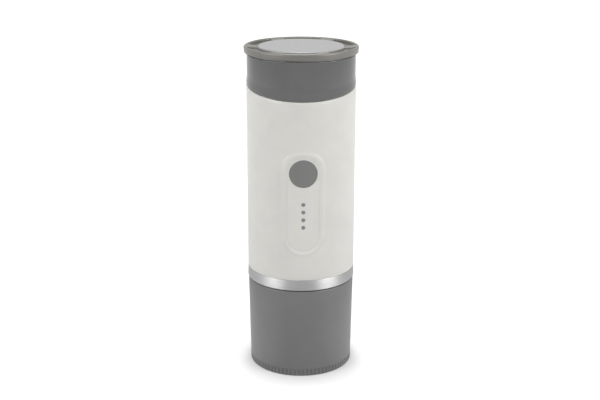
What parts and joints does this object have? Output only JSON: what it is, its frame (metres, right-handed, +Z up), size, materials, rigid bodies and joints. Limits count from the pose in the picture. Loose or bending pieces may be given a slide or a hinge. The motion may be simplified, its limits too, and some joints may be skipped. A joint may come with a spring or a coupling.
{
  "type": "portable capsule coffee maker",
  "caption": "Slim upright battery coffee maker: lidded water tank on top, button panel on the front, screw-on capsule holder under the body and a pull-off cup as its foot.",
  "frame": {"origin": "centre of the cup's foot, on the surface that the object stands on", "axes": "+Z up the body's axis, -Y out of the button, +X to the right seen from the front"},
  "size_m": [0.0752, 0.0752, 0.2193],
  "materials": {
    "lid_grey": "satin moulded plastic",
    "plug_grey": "satin moulded plastic",
    "collar_gloss": "glossy moulded plastic",
    "shell_white": "satin white plastic",
    "panel_white": "satin white plastic",
    "button_grey": "satin plastic",
    "light_lens": "smoked clear plastic",
    "ring_metal": "brushed round its axis",
    "cup_grey": "satin moulded plastic",
    "holder_grey": "satin moulded plastic",
    "head_grey": "moulded plastic",
    "tank_steel": "drawn and brushed",
    "silicone_pale": "moulded silicone",
    "silicone_dark": "moulded silicone",
    "brass": "turned",
    "heater": "film on plate",
    "sensor_white": "ceramic case",
    "board_green": "solder mask",
    "chip_black": "moulded",
    "led_clear": "clear resin",
    "screw_steel": "zinc plated",
    "deck_grey": "moulded plastic",
    "cell_wrap": "shrink film over a can",
    "nickel": "bright",
    "motor_steel": "zinc plated",
    "magnet": "ferrite",
    "motor_cap": "moulded plastic",
    "armature": "wound core",
    "pump_plastic": "moulded plastic"
  },
  "bodies": {
    "body": {"upper_collar": "collar_gloss", "water_tank": "tank_steel", "tank_outlet": "brass", "outlet_nut": "brass", "outlet_seal": "silicone_dark", "heater_plate": "heater", "thermistor": "sensor_white", "thermal_fuse": "sensor_white", "inlet_hose": "silicone_pale", "body_shell": "shell_white", "control_panel": "panel_white", "tact_switch": "chip_black", "light_guide": "light_lens", "status_leds": "led_clear", "main_board": "board_green", "board_parts": "chip_black", "board_screws": "screw_steel", "upper_deck": "deck_grey", "lower_deck": "deck_grey", "lower_standoffs": "screw_steel", "upper_standoffs": "screw_steel", "deck_screws": "screw_steel", "head_screws": "screw_steel", "battery_cell_1": "cell_wrap", "battery_cell_2": "cell_wrap", "battery_cell_3": "cell_wrap", "cell_links": "nickel", "motor_can": "motor_steel", "motor_magnets": "magnet", "motor_endcap": "motor_cap", "motor_bushes": "brass", "idler_pin": "nickel", "shaft_seal": "silicone_dark", "pump_body": "pump_plastic", "pump_gasket": "silicone_dark", "pump_cover": "pump_plastic", "pump_screws": "screw_steel", "charge_board": "board_green", "charge_socket": "nickel", "brew_head": "head_grey", "brew_spigot": "head_grey", "valve_spring": "nickel", "pierce_plate": "tank_steel", "head_seal": "silicone_dark", "trim_ring": "ring_metal", "cup_seal": "silicone_dark"},
    "lid": {"lid_cap": "lid_grey", "lid_plug": "plug_grey", "lid_gasket": "silicone_pale"},
    "button": {"power_button": "button_grey", "switch_plunger": "chip_black"},
    "rotor": {"motor_shaft": "nickel", "motor_armature": "armature", "pump_drive_gear": "brass"},
    "idler": {"pump_idler_gear": "brass"},
    "valve": {"valve_ball": "nickel"},
    "cradle": {"capsule_cradle": "tank_steel"},
    "holder": {"capsule_holder": "holder_grey"},
    "cup": {"coffee_cup": "cup_grey"}
  },
  "joints": [
    {"name": "lid_lift", "type": "slide", "parent": "body", "child": "lid", "axis": [0, 0, 1], "range_m": [0, 0.04]},
    {"name": "button_press", "type": "slide", "parent": "body", "child": "button", "axis": [0, 1, 0], "range_m": [0, 0.001], "stiffness_N_per_m": 1200},
    {"name": "motor_spin", "type": "hinge", "parent": "body", "child": "rotor", "pos_m": [0, 0, 0.11], "axis": [0, 0, 1], "continuous": true},
    {"name": "idler_spin", "type": "hinge", "parent": "body", "child": "idler", "pos_m": [0.00892, -0.00803, 0.086], "axis": [0, 0, 1], "continuous": true},
    {"name": "valve_open", "type": "slide", "parent": "body", "child": "valve", "axis": [0, 0, -1], "range_m": [0, 0.001], "stiffness_N_per_m": 300, "deforming": ["valve_spring"]},
    {"name": "holder_drop", "type": "slide", "parent": "body", "child": "cradle", "axis": [0, 0, -1], "range_m": [0, 0.0101]},
    {"name": "holder_turn", "type": "hinge", "parent": "cradle", "child": "holder", "pos_m": [0, 0, 0.04], "axis": [0, 0, -1], "range_deg": [0, 900]},
    {"name": "cup_pull", "type": "slide", "parent": "body", "child": "cup", "axis": [0, 0, -1], "range_m": [0, 0.06]}
  ],
  "couplings": [
    {"joint": "idler_spin", "follows": "motor_spin", "ratio": -1},
    {"joint": "holder_drop", "follows": "holder_turn", "m_per_rad": 0.00063662}
  ]
}
